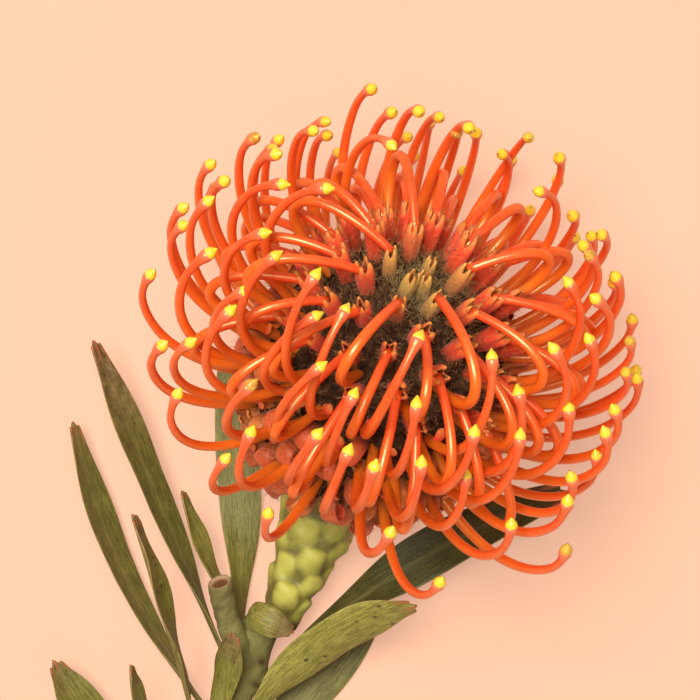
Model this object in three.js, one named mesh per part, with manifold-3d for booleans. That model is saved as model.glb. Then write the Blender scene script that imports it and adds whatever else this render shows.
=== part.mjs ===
import * as THREE from 'three';
import { mergeVertices } from 'three/addons/utils/BufferGeometryUtils.js';
import Module from 'manifold-3d';

// A cut pincushion protea, lying on a table: one flower head on a leafy, woody stem.
// Millimetres, +Z up. The stem lies along Y and the head is at its +Y end. While it is built, the
// middle of the head is at x = 0, y = 0; the last lines move the middle of its box to the origin.

const wasm = await Module();
wasm.setup();

const deg = Math.PI / 180;
const goldenAngle = 137.50776 * deg;
const joinTolerance = 0.12;   // slivers that a union leaves are tidied within this

const head = {
  axisDeg: 51,        // the head's axis above the table
  middleZ: 35,        // middle of the dome above the table
  florets: 140,       // in one spiral from the pole outwards
  buds: 3,            // the innermost, still closed
  unopened: 46,       // the inner florets, whose style still bows in a loop
  mixing: 10,         // how many places the edge between loops and free styles wanders over
  edgeDeg: 121,       // how far round the dome the florets reach
  domeRadius: 28.5,   // square to the axis, at the tops of the perianths
  stretch: 1.27,      // how much longer the dome is along its axis
  coreRadius: 25,     // the solid mass of perianth tubes that they stand out of
  coreSides: 12,
  coreEnd: 25,        // from the middle down to the flat end that the peduncle meets
  coreEndRadius: 9,
  seed: 18,
};

const freeStyle = {
  rootDistance: 12,   // from the middle of the head, inside the core
  rootStretch: 1.1,   // along the axis
  length: 55,
  straight: 0.24,     // share of the length before it starts to turn towards the axis
  lean: 0.82,         // the start angle as a share of the floret's own
  leanSpreadDeg: 10,
  turnDeg: 90,        // how far the line turns back towards the axis
  turnSpreadDeg: 30,
  hookDeg: 28,        // the extra turn of the last quarter
  ease: 0.45,
  swingDeg: 24,
  baseRadius: 1.3,
  neckRadius: 0.95,
  tipRadius: 1.7,     // the swelling that carries the pollen
  sides: 3,
  steps: 36,
  stations: [5, 13, 20, 26, 31, 34.2],
  swelling: 35.1,     // station of the widest ring of the tip
  restHeight: 0.9,    // of the line of a style that lies on the table
  rests: [12, 19],    // styles lower than the first height reach the table, above the second none
};

const loopStyle = {
  rootDistance: 15,
  rootShift: 0.1,     // radians away from the pole
  topShift: -0.05,
  bow: [11, 16],
  rise: [12, 17],
  push: 18.2,         // how far the curve heads outwards from its root
  pull: [1.9, 1.3],   // how strongly the bow draws the curve near its root and near its top
  radius: 1.3,
  stations: [0.08, 0.22, 0.38, 0.54, 0.7, 0.86, 1],
};

const perianth = {
  columnRadius: 2,
  columnTop: 32.5,
  rootDistance: 20,
  curlShift: 3.3,     // beside its style, on the side away from the pole
  curlRadius: 1.9,
  curlReach: 4.6,
  curlTop: 29.5,
};

const bud = { distances: [18, 26, 28.5], away: [0, 0.6, -1], radii: [1.8, 1.6, 0.4] };

const stem = {
  radius: 3.7,
  aside: -2.2,        // x of its axis
  sides: 12,
  start: -56,         // y where the peduncle ends
  riseDeg: 3,         // its slope up from the cut end
  end: -104,          // y of the cut end, on its lower edge
  squareTo: -90,      // y down to which its rings stay square to the axis
  slantDeg: 24,
  gap: 0.5,
};

const stub = {
  root: [-2.5, -66, 6.5],
  tip: [-14, -51.5, 16],
  middle: 0.55,
  radius: [2.9, 2.5, 2.7],
  sides: 8,
};

const peduncle = {
  radii: [9.2, 9, 8.4, 7.4, 6.2, 4.9, 4],
  sides: 12,
  bracts: 22,
  bractLength: 7,
  bractWidth: 5,
  bractStand: 1.7,
};

const blade = {
  thickness: 0.9,
  along: 8,
  across: 6,
  steps: 32,
  baseShare: 0.36,
  widestAt: 0.62,
  tipShare: 0.5,
  teeth: [0.16, 0.05, 0.26],   // of the tip: how far its middle stands out, its teeth, its fall to the edges
  waves: 14,
};

// One line a leaf: y of its base on the stem, and how far off it; its side of the stem in degrees,
// 0 to the right and 90 on top, at the base and at the tip; length; width; angle to the stem at the
// base and the tip; turn of the blade about its own line at the base and from halfway to the tip;
// hollow across the blade; wave of its edges.
const leaves = [
  [-78, 0.5, [180, 182], 65, 9, [60, 34], [0, -30], 0.22, 0.3],
  [-66, 0.8, [174, 174], 70, 9, [46, 43], [0, -40], 0.2, 0.4],
  [-83, 0.5, [150, 152], 50, 8.5, [38, 42], [0, -34], 0.25, 0.5],
  [-61, 0.6, [205, 190], 58, 9.5, [20, 32], [0, -75], 0.15, 0.3],
  [-66, 0.6, [4, 10], 72, 11, [24, 47], [0, 66], 0.16, 0.4],
  [-79, 0.5, [36, 32], 48, 10.5, [14, 54], [0, -35], 0.2, 0.5],
  [-54.5, 0.6, [122, -50], 15.5, 6.5, [84, 96], [-90, -90], 0.2, 0.1],
  [-80, 0.5, [110, 98], 25, 6.5, [26, 40], [0, -10], 0.3, 0.3],
  [-98, 0.6, [176, 168], 36, 10, [76, 48], [0, -60], 0.2, 0.4],
  [-92, 0.5, [150, 150], 27, 7, [66, 30], [0, -40], 0.2, 0.3],
  [-90, 0.8, [-26, -12], 50, 10, [30, 8], [0, 80], 0.14, 0.3],
  [-97, 0.5, [10, 8], 30, 9, [30, 60], [0, 50], 0.2, 0.4],
  [-58, 1.2, [171, 164], 29, 5.5, [52, 38], [0, -40], 0.25, 0.3],
].map(([at, off, side, length, width, angle, turn, hollow, wave]) => (
  { at, off, side, length, width, angle, turn, hollow, wave }
));

const colours = {
  style: new THREE.Color(0.91, 0.24, 0.07),
  peduncle: new THREE.Color(0.45, 0.5, 0.17),
  stem: new THREE.Color(0.4, 0.31, 0.18),
  leaf: new THREE.Color(0.33, 0.36, 0.15),
};

// The head's own directions: along its axis, and square to it to the right and upwards.
const middle = new THREE.Vector3(0, 0, head.middleZ);
const axis = new THREE.Vector3(0, Math.cos(head.axisDeg * deg), Math.sin(head.axisDeg * deg));
const right = new THREE.Vector3(1, 0, 0);
const upward = new THREE.Vector3(0, -Math.sin(head.axisDeg * deg), Math.cos(head.axisDeg * deg));

// The same number between 0 and 1 each time for floret i and purpose k.
function draw(i, k) {
  const s = Math.sin(i * 12.9898 + k * 78.233 + head.seed * 37.719) * 43758.5453;
  return s - Math.floor(s);
}

function between(range, share) {
  return range[0] + (range[1] - range[0]) * share;
}

// Height kept above a floor: far above it unchanged, below it the floor, with a curved passage.
function liftedTo(floor, band, z) {
  if (z >= floor + band) return z;
  if (z <= floor - band) return floor;
  return floor + (z - floor + band) ** 2 / (4 * band);
}

// Triangles in three's order, from rings of equal numbers of points, closed at both ends.
function ringsToGeometry(rings) {
  const count = rings[0].length;
  const positions = rings.flat();
  const triangles = [];
  for (let r = 0; r + 1 < rings.length; r += 1) {
    for (let k = 0; k < count; k += 1) {
      const a = r * count + k;
      const b = r * count + ((k + 1) % count);
      triangles.push(a, b, b + count, a, b + count, a + count);
    }
  }
  const last = (rings.length - 1) * count;
  for (let k = 1; k + 1 < count; k += 1) {
    triangles.push(0, k + 1, k);
    triangles.push(last, last + k, last + k + 1);
  }
  return indexed(positions, triangles);
}

function indexed(points, triangles) {
  const geometry = new THREE.BufferGeometry();
  geometry.setAttribute('position', new THREE.Float32BufferAttribute(points.flatMap((p) => p.toArray()), 3));
  geometry.setIndex(triangles);
  return geometry;
}

// The direction of a line of points at each of them, from its neighbours.
function directions(points) {
  return points.map((_, i) => {
    const before = points[Math.max(0, i - 1)];
    const after = points[Math.min(points.length - 1, i + 1)];
    return after.clone().sub(before).normalize();
  });
}

// A tube of the given radii along points, its sections square to the path. side is a direction
// square to the plane that the path bends in.
function tube(points, radii, sides, side, tangents = directions(points)) {
  const rings = points.map((point, i) => {
    const along = tangents[i];
    const across = side.clone().addScaledVector(along, -side.dot(along)).normalize();
    const out = new THREE.Vector3().crossVectors(along, across);
    return Array.from({ length: sides }, (_, k) => {
      const turn = ((k + 0.5) / sides) * 2 * Math.PI;
      return point.clone()
        .addScaledVector(across, radii[i] * Math.sin(turn))
        .addScaledVector(out, -radii[i] * Math.cos(turn));
    });
  });
  return ringsToGeometry(rings);
}

// Points that would be under the table, or just above it, moved up in proportion.
function aboveTable(geometry) {
  const { position } = geometry.attributes;
  for (let k = 0; k < position.count; k += 1) position.setZ(k, liftedTo(0.4, 2.4, position.getZ(k)));
  return geometry;
}

function toSolid(geometry) {
  const bare = geometry.clone();
  bare.deleteAttribute('normal');
  bare.deleteAttribute('uv');
  const merged = mergeVertices(bare, 1e-4);
  const solid = new wasm.Manifold(new wasm.Mesh({
    numProp: 3,
    vertProperties: new Float32Array(merged.attributes.position.array),
    triVerts: new Uint32Array(merged.index.array),
  }));
  if (solid.volume() <= 0) throw new Error('a shape is inside out');
  return solid;
}

function toGeometry(solid) {
  const mesh = solid.getMesh();
  const geometry = new THREE.BufferGeometry();
  geometry.setAttribute('position', new THREE.BufferAttribute(new Float32Array(mesh.vertProperties), 3));
  geometry.setIndex(new THREE.BufferAttribute(new Uint32Array(mesh.triVerts), 1));
  geometry.computeVertexNormals();
  return geometry;
}

function fused(geometries) {
  return toGeometry(wasm.Manifold.union(geometries.map(toSolid)).asOriginal().simplify(joinTolerance));
}

function named(name, geometry, colour, roughness) {
  const material = new THREE.MeshStandardMaterial({ color: colour, roughness, metalness: 0, flatShading: true });
  const mesh = new THREE.Mesh(geometry, material);
  mesh.name = name;
  return mesh;
}

// ---- the flower head ----

// Where floret i stands: its angle from the pole, and its turn about the axis.
function floret(i) {
  const edge = Math.cos(head.edgeDeg * deg);
  return {
    fromPole: Math.acos(1 - ((i + 0.5) / head.florets) * (1 - edge)),
    round: i * goldenAngle,
  };
}

function isBud(i) {
  return i < head.buds;
}

function isLoop(i) {
  return !isBud(i) && i + (draw(i, 1) - 0.5) * head.mixing < head.unopened;
}

// A point of a floret's own plane: a along the head's axis, r away from it, s sideways.
function inHead(round, a, r, s = 0) {
  const outward = right.clone().multiplyScalar(Math.cos(round)).addScaledVector(upward, Math.sin(round));
  const sideways = right.clone().multiplyScalar(-Math.sin(round)).addScaledVector(upward, Math.cos(round));
  return middle.clone().addScaledVector(axis, a).addScaledVector(outward, r).addScaledVector(sideways, s);
}

function sideOf(round) {
  return right.clone().multiplyScalar(-Math.sin(round)).addScaledVector(upward, Math.cos(round));
}

// The line of a free style: it leaves the core on the floret's own slant, turns back towards the
// axis along its length, and hooks inwards at the tip. What would pass under the table is lifted.
function freeStyleLine(i) {
  const { fromPole, round } = floret(i);
  const startAngle = fromPole * freeStyle.lean + (draw(i, 2) - 0.5) * freeStyle.leanSpreadDeg * deg;
  const length = freeStyle.length * (0.95 + 0.1 * draw(i, 3));
  const turn = (freeStyle.turnDeg + (draw(i, 4) - 0.5) * freeStyle.turnSpreadDeg) * deg;
  const swing = Math.sin((draw(i, 5) - 0.5) * freeStyle.swingDeg * deg);
  const step = length / freeStyle.steps;
  let a = freeStyle.rootDistance * Math.cos(fromPole) * freeStyle.rootStretch;
  let r = freeStyle.rootDistance * Math.sin(fromPole);
  let s = 0;
  const line = [inHead(round, a, r, s)];
  for (let k = 0; k < freeStyle.steps; k += 1) {
    const u = Math.max(0, ((k + 0.5) / freeStyle.steps - freeStyle.straight) / (1 - freeStyle.straight));
    const bend = u * u * (3 - 2 * u) * freeStyle.ease + u * (1 - freeStyle.ease);
    const hook = freeStyle.hookDeg * deg * Math.max(0, (u - 0.75) / 0.25);
    const angle = startAngle - turn * bend - hook;
    a += step * Math.cos(angle);
    r += step * Math.sin(angle);
    s += step * swing * u;
    line.push(inHead(round, a, r, s));
  }
  return restedOnTable(line);
}

// Styles that come near the table sink onto it beyond their lowest point, and none goes under it.
function restedOnTable(line) {
  const floor = freeStyle.restHeight;
  const heights = line.map((p) => p.z);
  const low = Math.max(0, Math.min(...heights) - floor);
  const lowest = heights.indexOf(Math.min(...heights));
  const drop = low * (1 - THREE.MathUtils.smoothstep(low, ...freeStyle.rests));
  return line.map((p, k) => {
    const sunk = p.z - drop * THREE.MathUtils.smoothstep(k, 0, Math.max(1, lowest));
    return p.setZ(liftedTo(floor, 3, sunk));
  });
}

function pointOn(line, station) {
  const k = Math.min(line.length - 2, Math.floor(station));
  return line[k].clone().lerp(line[k + 1], station - k);
}

function freeStyleGeometry(i) {
  const line = freeStyleLine(i);
  const { stations, swelling, steps, baseRadius, neckRadius, tipRadius, sides } = freeStyle;
  const places = [...stations, swelling, steps - 0.02];
  const radii = stations.map((k) => baseRadius + (neckRadius - baseRadius) * (k / steps));
  return tube(places.map((k) => pointOn(line, k)), [...radii, tipRadius, 0.35], sides, sideOf(floret(i).round));
}

// The line of a style still held at its tip: out of its perianth's foot, in a bow away from the
// pole, and back into the top of the perianth, as one Bezier curve.
function loopLine(i) {
  const { fromPole, round } = floret(i);
  const out = [Math.cos(fromPole), Math.sin(fromPole)];
  const away = [-Math.sin(fromPole), Math.cos(fromPole)];
  const bow = between(loopStyle.bow, draw(i, 3));
  const rise = between(loopStyle.rise, draw(i, 4));
  const at = (angle, distance, o, e) => inHead(
    round,
    Math.cos(fromPole + angle) * distance * head.stretch + out[0] * e + away[0] * o,
    Math.sin(fromPole + angle) * distance + out[1] * e + away[1] * o,
  );
  return new THREE.CubicBezierCurve3(
    at(loopStyle.rootShift, loopStyle.rootDistance, 0, 0),
    at(loopStyle.rootShift, loopStyle.rootDistance, bow * loopStyle.pull[0], loopStyle.push),
    at(loopStyle.topShift, head.domeRadius + 1, bow * loopStyle.pull[1], rise * loopStyle.pull[1]),
    at(loopStyle.topShift, head.domeRadius + 1, 0, 0),
  );
}

function loopGeometry(i) {
  const curve = loopLine(i);
  const points = loopStyle.stations.map((t) => curve.getPoint(t));
  return tube(points, points.map(() => loopStyle.radius), 3, sideOf(floret(i).round));
}

// The closed perianth that holds a loop's tip: a slim column, pointed at its top.
function columnGeometry(i) {
  const { fromPole, round } = floret(i);
  const at = (distance) => inHead(
    round,
    Math.cos(fromPole + loopStyle.topShift) * distance * head.stretch,
    Math.sin(fromPole + loopStyle.topShift) * distance,
  );
  const points = [at(perianth.rootDistance), at(head.domeRadius + 1), at(perianth.columnTop)];
  return tube(points, [perianth.columnRadius, perianth.columnRadius * 0.85, 0.4], 3, sideOf(round));
}

// An open perianth, rolled back away from the pole beside its style.
function curlGeometry(i) {
  const { fromPole, round } = floret(i);
  const at = (distance, away) => inHead(
    round,
    Math.cos(fromPole) * distance * head.stretch - Math.sin(fromPole) * away,
    Math.sin(fromPole) * distance + Math.cos(fromPole) * away,
  );
  const { curlShift, curlRadius, curlReach, curlTop } = perianth;
  const points = [
    at(perianth.rootDistance, curlShift * 0.8),
    at(curlTop - 0.6, curlShift),
    at(curlTop - 1, curlShift + curlReach),
  ];
  return aboveTable(tube(points, [curlRadius, curlRadius, 0.5], 3, sideOf(round)));
}

// A young bud near the pole: a short column leaning over the hollow.
function budGeometry(i) {
  const { fromPole, round } = floret(i);
  const at = (distance, away) => inHead(
    round,
    Math.cos(fromPole) * distance * head.stretch - Math.sin(fromPole) * away,
    Math.sin(fromPole) * distance + Math.cos(fromPole) * away,
  );
  return tube(bud.distances.map((d, k) => at(d, bud.away[k])), bud.radii, 3, sideOf(round));
}

function coreGeometry() {
  const { coreRadius, coreEnd, coreEndRadius } = head;
  const arc = [15, 32, 49, 66, 83, 100, 117].map((d) => new THREE.Vector2(
    coreRadius * Math.sin(d * deg),
    coreRadius * Math.cos(d * deg) * head.stretch,
  ));
  const profile = [
    new THREE.Vector2(0, -coreEnd),
    new THREE.Vector2(coreEndRadius, -coreEnd),
    ...arc.reverse(),
    new THREE.Vector2(0, coreRadius * head.stretch * 0.94),
  ];
  const geometry = new THREE.LatheGeometry(profile, head.coreSides);
  geometry.applyQuaternion(new THREE.Quaternion().setFromUnitVectors(new THREE.Vector3(0, 1, 0), axis));
  return geometry.translate(middle.x, middle.y, middle.z);
}

function flowerHead() {
  const pieces = [coreGeometry()];
  for (let i = 0; i < head.florets; i += 1) {
    if (isBud(i)) {
      pieces.push(budGeometry(i));
    } else if (isLoop(i)) {
      pieces.push(loopGeometry(i), columnGeometry(i));
    } else {
      pieces.push(freeStyleGeometry(i), curlGeometry(i));
    }
  }
  return named('flower_head', fused(pieces), colours.style, 0.4);
}

// ---- the peduncle and the stem ----

// A point of the stem's axis at a given y, and the axis's direction towards the head.
function stemPoint(y) {
  return new THREE.Vector3(stem.aside, y, stem.radius + (y - stem.end) * Math.tan(stem.riseDeg * deg));
}

const stemAlong = new THREE.Vector3(0, Math.cos(stem.riseDeg * deg), Math.sin(stem.riseDeg * deg));
const stemUp = new THREE.Vector3(0, -stemAlong.z, stemAlong.y);

// The peduncle's line: an arc that leaves the head's flat end square and runs out onto the stem's
// axis, then straight on to the stem. Gives the point and the direction towards the head.
function peduncleAt(share) {
  const start = middle.clone().addScaledVector(axis, -head.coreEnd - stem.gap);
  const turn = (head.axisDeg - stem.riseDeg) * deg;
  const above = start.clone().sub(stemPoint(start.y)).dot(stemUp);
  const bendRadius = above / (1 - Math.cos(turn));
  const hub = start.clone().addScaledVector(axis.clone().cross(right), -bendRadius);
  const straight = Math.abs(hub.clone().sub(stemPoint(stem.start)).dot(stemAlong)) - stem.gap;
  const arcLength = bendRadius * turn;
  const travelled = share * (arcLength + straight);
  const turned = Math.min(travelled / bendRadius, turn);
  const out = axis.clone().cross(right).applyAxisAngle(right, -turned);
  return {
    toHead: axis.clone().applyAxisAngle(right, -turned),
    point: hub.addScaledVector(out, bendRadius).addScaledVector(stemAlong, -Math.max(0, travelled - arcLength)),
  };
}

function peduncleRadius(share) {
  const place = share * (peduncle.radii.length - 1);
  const k = Math.min(peduncle.radii.length - 2, Math.floor(place));
  return between([peduncle.radii[k], peduncle.radii[k + 1]], place - k);
}

// A bract: a blunt scale that lies on the peduncle, its tip towards the head.
function bractGeometry(i) {
  const share = 0.36 + 0.54 * (i / (peduncle.bracts - 1));
  const round = i * goldenAngle;
  const size = 1 - 0.4 * share;
  const { point: centre, toHead } = peduncleAt(share);
  const upSide = new THREE.Vector3().crossVectors(right, toHead).normalize();
  const out = right.clone().multiplyScalar(Math.cos(round)).addScaledVector(upSide, Math.sin(round));
  const radius = peduncleRadius(share);
  const at = (along, stand) => centre.clone().addScaledVector(toHead, along).addScaledVector(out, radius + stand);
  const half = (peduncle.bractLength / 2) * size;
  const points = [at(-half, -1), at(half * 0.3, peduncle.bractStand * 0.35), at(half, peduncle.bractStand * 0.8)];
  const wide = peduncle.bractWidth * 0.5 * size;
  return aboveTable(tube(points, [wide, wide * 0.95, 0.5], 3, new THREE.Vector3().crossVectors(toHead, out)));
}

function peduncleMesh() {
  const last = peduncle.radii.length - 1;
  const places = peduncle.radii.map((_, k) => peduncleAt(k / last));
  const line = places.map(({ point }) => point);
  const tangents = places.map(({ toHead }) => toHead.clone().negate());
  const pieces = [aboveTable(tube(line, peduncle.radii, peduncle.sides, right, tangents))];
  for (let i = 0; i < peduncle.bracts; i += 1) pieces.push(bractGeometry(i));
  return named('peduncle', fused(pieces), colours.peduncle, 0.6);
}

// The stem: a straight tube cut on a slant, its cut end on the table, and the stump of a side shoot
// near its top.
function stemMesh() {
  const outer = stem.radius / Math.cos(Math.PI / stem.sides);
  const slant = Math.tan(stem.slantDeg * deg);
  const ring = (y, slope) => Array.from({ length: stem.sides }, (_, k) => {
    const turn = ((k + 0.5) / stem.sides) * 2 * Math.PI;
    const up = -outer * Math.cos(turn);
    return stemPoint(y)
      .addScaledVector(right, outer * Math.sin(turn))
      .addScaledVector(stemUp, up)
      .addScaledVector(stemAlong, (stem.radius + up) * slope);
  });
  const wood = ringsToGeometry([ring(stem.start, 0), ring(stem.squareTo, 0), ring(stem.end, slant)]);
  const root = new THREE.Vector3(...stub.root);
  const tip = new THREE.Vector3(...stub.tip);
  const line = [root, root.clone().lerp(tip, stub.middle), tip];
  const shoot = tube(line, stub.radius, stub.sides, new THREE.Vector3(0, 0, 1));
  return named('stem', fused([wood, shoot]), colours.stem, 0.75);
}

// ---- the leaves ----

// Half the blade's width at a share of its length: narrow at the foot, widest past the middle.
function bladeHalfWidth(leaf, share) {
  const { baseShare, widestAt, tipShare } = blade;
  const half = leaf.width / 2;
  if (share < widestAt) {
    return half * (baseShare + (1 - baseShare) * Math.sin((share / widestAt) * 90 * deg) ** 1.3);
  }
  return half * (1 - (1 - tipShare) * ((share - widestAt) / (1 - widestAt)) ** 2);
}

// How far the blunt teeth of the tip stand beyond the blade's end, across from -1 to 1.
function toothReach(leaf, across) {
  const [reach, tooth, fall] = blade.teeth;
  return leaf.width * (reach + tooth * Math.cos(3 * Math.PI * across) - fall * across * across);
}

// The leaf's own line with the directions across and out of its upper face at each step.
function leafLine(leaf) {
  const step = leaf.length / blade.steps;
  const outAt = (share) => {
    const side = between(leaf.side, share) * deg;
    return right.clone().multiplyScalar(Math.cos(side)).addScaledVector(stemUp, Math.sin(side));
  };
  const place = stemPoint(leaf.at)
    .addScaledVector(outAt(0), stem.radius + stem.gap + blade.thickness * 0.5 + leaf.off);
  const line = [];
  for (let k = 0; k <= blade.steps; k += 1) {
    const share = k / blade.steps;
    const out = outAt(share);
    const angle = between(leaf.angle, share) * deg;
    const ahead = stemAlong.clone().multiplyScalar(Math.cos(angle)).addScaledVector(out, Math.sin(angle));
    const face = stemAlong.clone().multiplyScalar(Math.sin(angle)).addScaledVector(out, -Math.cos(angle));
    face.applyAxisAngle(ahead, between(leaf.turn, Math.min(1, share * 2)) * deg);
    line.push({ place: place.clone(), ahead, face, across: new THREE.Vector3().crossVectors(ahead, face) });
    place.addScaledVector(ahead, step);
  }
  return line;
}

// A point of the blade's middle surface: share along it from foot to tip, across from -1 to 1.
function bladePoint(leaf, line, share, across) {
  const k = Math.min(blade.steps, Math.round(share * blade.steps));
  const { place, ahead, face, across: side } = line[k];
  const half = bladeHalfWidth(leaf, share);
  const wave = leaf.wave * Math.sin(share * blade.waves + leaf.at) * across ** 3;
  const point = place.clone()
    .addScaledVector(side, across * half)
    .addScaledVector(face, leaf.hollow * half * across * across + wave)
    .addScaledVector(ahead, toothReach(leaf, across) * share ** 8);
  return point.setZ(liftedTo(blade.thickness * 0.6, 1.5, point.z));
}

// A thin closed blade: the middle surface moved half a thickness to both sides, both split alike.
function bladeGeometry(leaf) {
  const line = leafLine(leaf);
  const { along, across, thickness } = blade;
  const row = across + 1;
  const grid = [];
  for (let i = 0; i <= along; i += 1) {
    for (let j = 0; j <= across; j += 1) grid.push(bladePoint(leaf, line, i / along, (2 * j) / across - 1));
  }
  const at = (i, j) => grid[Math.min(along, Math.max(0, i)) * row + Math.min(across, Math.max(0, j))];
  const normal = (i, j) => new THREE.Vector3().crossVectors(
    at(i, j + 1).clone().sub(at(i, j - 1)),
    at(i + 1, j).clone().sub(at(i - 1, j)),
  ).normalize();
  const upper = [];
  const lower = [];
  for (let i = 0; i <= along; i += 1) {
    for (let j = 0; j <= across; j += 1) {
      const lift = normal(i, j).multiplyScalar(thickness / 2);
      upper.push(at(i, j).clone().add(lift));
      lower.push(at(i, j).clone().sub(lift));
    }
  }
  const triangles = [];
  const under = grid.length;
  for (let i = 0; i < along; i += 1) {
    for (let j = 0; j < across; j += 1) {
      const a = i * row + j;
      const [b, c, d] = [a + 1, a + row + 1, a + row];
      triangles.push(a, b, c, a, c, d);
      triangles.push(under + a, under + c, under + b, under + a, under + d, under + c);
    }
  }
  const edge = [];
  for (let j = 0; j < across; j += 1) edge.push(j);
  for (let i = 0; i < along; i += 1) edge.push(i * row + across);
  for (let j = across; j > 0; j -= 1) edge.push(along * row + j);
  for (let i = along; i > 0; i -= 1) edge.push(i * row);
  edge.forEach((a, k) => {
    const b = edge[(k + 1) % edge.length];
    triangles.push(b, a, under + a, b, under + a, under + b);
  });
  return toGeometry(toSolid(indexed([...upper, ...lower], triangles)));
}

function leafMesh(leaf, number) {
  return named(`leaf_${String(number + 1).padStart(2, '0')}`, bladeGeometry(leaf), colours.leaf, 0.55);
}

// ---- the whole flower, with the middle of its underside at the origin ----

const flower = new THREE.Group();
flower.name = 'pincushion_protea';
flower.add(flowerHead(), peduncleMesh(), stemMesh(), ...leaves.map(leafMesh));

const box = new THREE.Box3().setFromObject(flower);
const centre = box.getCenter(new THREE.Vector3());
flower.children.forEach((mesh) => mesh.geometry.translate(-centre.x, -centre.y, -box.min.z));

export default flower;
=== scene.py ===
import bpy
import numpy as np
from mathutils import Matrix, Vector


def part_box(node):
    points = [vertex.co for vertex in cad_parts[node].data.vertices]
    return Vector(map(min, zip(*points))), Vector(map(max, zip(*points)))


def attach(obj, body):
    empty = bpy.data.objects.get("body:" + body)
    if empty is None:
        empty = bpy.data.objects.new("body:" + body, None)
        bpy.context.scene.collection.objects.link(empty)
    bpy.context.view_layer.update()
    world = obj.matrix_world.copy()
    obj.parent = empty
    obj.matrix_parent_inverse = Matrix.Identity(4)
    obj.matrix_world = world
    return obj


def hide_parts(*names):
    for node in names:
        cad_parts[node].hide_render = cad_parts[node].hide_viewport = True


# A cut pincushion protea lying on a pale surface: a dome of florets with long orange styles on a
# leafy stem. Shapes are worked out in millimetres, with the middle of the dome above x = 0, y = 0
# and the stem along -Y, and moved into the frame by the place of the stem.
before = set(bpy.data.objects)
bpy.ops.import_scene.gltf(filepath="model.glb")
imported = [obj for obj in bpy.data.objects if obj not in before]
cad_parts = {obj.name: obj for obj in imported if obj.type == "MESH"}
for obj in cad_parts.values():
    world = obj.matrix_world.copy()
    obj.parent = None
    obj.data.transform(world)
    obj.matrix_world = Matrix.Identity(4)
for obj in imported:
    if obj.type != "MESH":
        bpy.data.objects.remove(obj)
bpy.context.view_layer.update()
scene = bpy.context.scene
scene.view_settings.view_transform = "Standard"
rng = np.random.default_rng(18)

# ---- where everything stands ----

head = {
    "axis": 51,  # degrees above the table
    "middleZ": 35,
    "florets": 140,
    "buds": 3,
    "unopened": 46,  # inner florets whose style is still held at its tip
    "mixing": 10,
    "edge": 121,  # degrees from the pole to the last floret
    "dome": 28.5,
    "stretch": 1.27,  # along the axis
    "seed": 18,
}
stem = {
    "radius": 3.7,
    "aside": -2.2,  # x of its axis
    "start": -56,  # y where the peduncle ends
    "squareTo": -90,
    "end": -104,
    "rise": 3,
    "slant": 24,
    "gap": 0.5,
}

goldenAngle = np.radians(137.50776)
middle = np.array([0, 0, head["middleZ"]], float)
right = np.array([1.0, 0, 0])
axis = np.array([0, np.cos(np.radians(head["axis"])), np.sin(np.radians(head["axis"]))])
upward = np.array([0, -axis[2], axis[1]])
rise = np.radians(stem["rise"])
stemAlong = np.array([0, np.cos(rise), np.sin(rise)])
stemUp = np.array([0, -np.sin(rise), np.cos(rise)])

stemLow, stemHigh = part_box("stem")
origin = np.array(
    [
        stemHigh.x * 1000 - stem["radius"] - stem["aside"],
        stemLow.y * 1000 - stem["end"] - stem["radius"] * np.sin(rise),
        stemLow.z * 1000 - stem["radius"] * (1 - np.cos(rise)),
    ]
)


def inFrame(points):
    # millimetres round the dome's middle to metres in the frame
    return (points + origin) / 1000


# ---- camera, floor and light ----

view = {"lens": 133.7, "height": 520, "aside": (-7.59, 3.48), "roll": 22.5}
floorFinish = {"colour": (0.4, 0.24, 0.16), "glow": (0.99, 0.565, 0.4), "glowStrength": 0.58}
lights = [
    # name, place in metres round the object, size, watts, colour
    ("keyLight", (-0.24, 0.12, 1.0), 0.5, 13, (1, 0.96, 0.88)),
    ("fillLight", (0.75, -0.55, 0.9), 1.1, 1.8, (1, 0.9, 0.8)),
]

camera = bpy.data.objects.new("camera", bpy.data.cameras.new("camera"))
camera.data.lens = view["lens"]
camera.data.sensor_width = 36
aside = np.array([view["aside"][0], view["aside"][1], view["height"]])
camera.location = inFrame(middle + aside)
camera.rotation_euler = (0, 0, np.radians(view["roll"]))
scene.collection.objects.link(camera)
scene.camera = camera

floorMesh = bpy.data.meshes.new("floor")
floorMesh.from_pydata([(-3, -3, 0), (3, -3, 0), (3, 3, 0), (-3, 3, 0)], [], [(0, 1, 2, 3)])
floor = bpy.data.objects.new("floor", floorMesh)
floor.location.z = -0.0002
scene.collection.objects.link(floor)

for name, place, size, watts, colour in lights:
    light = bpy.data.lights.new(name, "AREA")
    light.shape = "DISK"
    light.size = size
    light.energy = watts
    light.color = colour
    lamp = bpy.data.objects.new(name, light)
    lamp.location = place
    lamp.rotation_euler = (-Vector(place)).to_track_quat("-Z", "Y").to_euler()
    scene.collection.objects.link(lamp)

world = bpy.data.worlds.new("room")
world.use_nodes = True
world.node_tree.nodes["Background"].inputs["Color"].default_value = (1, 0.8, 0.66, 1)
world.node_tree.nodes["Background"].inputs["Strength"].default_value = 0.25
scene.world = world


# ---- making meshes ----


def unit(vectors):
    return vectors / np.linalg.norm(vectors, axis=-1, keepdims=True)


def smoothStep(value, low, high):
    x = np.clip((value - low) / (high - low), 0, 1)
    return x * x * (3 - 2 * x)


def between(pair, share):
    return pair[0] + (pair[1] - pair[0]) * share


def draw(i, purpose):
    # the same number from 0 to 1 each time for floret i: the fraction of a large sine
    s = np.sin(i * 12.9898 + purpose * 78.233 + head["seed"] * 37.719) * 43758.5453
    return s - np.floor(s)


def lifted(floorHeight, band, z):
    # unchanged above the band, the floor below it, a parabola between
    curve = floorHeight + (z - floorHeight + band) ** 2 / (4 * band)
    return np.where(z >= floorHeight + band, z, np.where(z <= floorHeight - band, floorHeight, curve))


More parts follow.
